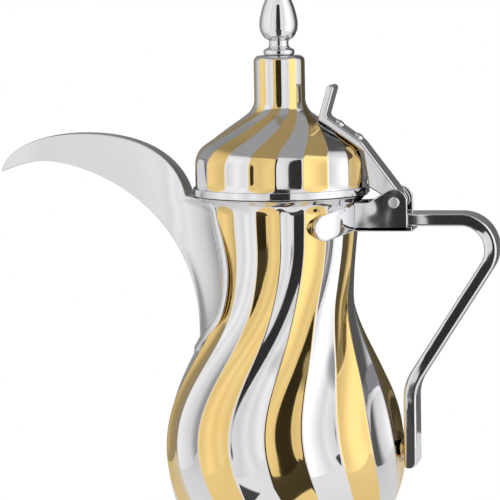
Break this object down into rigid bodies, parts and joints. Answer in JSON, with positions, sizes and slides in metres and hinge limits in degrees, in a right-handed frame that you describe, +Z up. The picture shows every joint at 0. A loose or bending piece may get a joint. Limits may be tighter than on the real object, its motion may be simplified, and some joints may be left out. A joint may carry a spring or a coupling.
{
  "type": "dallah coffee pot",
  "caption": "Fluted metal coffee pot with a crescent beak spout, bar handle and hinged domed lid with a thumb lever and a finial, for serving hot coffee.",
  "frame": {"origin": "centre of the flat underside of the base, on the surface the pot stands on", "axes": "+Z up along the pot's axis, +X towards the handle, -X towards the spout, +Y across"},
  "size_m": [0.2179, 0.1044, 0.2533],
  "materials": {
    "polished_steel": "mirror polished",
    "steel_with_gold": "mirror polished, every second flute gold plated",
    "plain_steel": "plain machined"
  },
  "bodies": {
    "pot": {"body_shell": "steel_with_gold", "base_plate": "polished_steel", "spout_left_half": "polished_steel", "spout_right_half": "polished_steel", "neck_saddle": "polished_steel", "hinge_bracket": "polished_steel", "hinge_pin": "polished_steel", "handle": "polished_steel", "handle_lug": "polished_steel"},
    "lid": {"lid_shell": "steel_with_gold", "lid_rim_band": "polished_steel", "lid_skirt": "polished_steel", "lid_strap": "polished_steel", "strap_rivets": "polished_steel", "rivet_washers": "plain_steel", "finial_collar": "polished_steel", "finial": "polished_steel", "finial_stud": "plain_steel", "finial_washer": "plain_steel", "finial_nut": "plain_steel"}
  },
  "joints": [
    {"name": "lid_hinge", "type": "hinge", "parent": "pot", "child": "lid", "pos_m": [0.0503, 0, 0.1582], "axis": [0, 1, 0], "range_deg": [0, 110]}
  ]
}
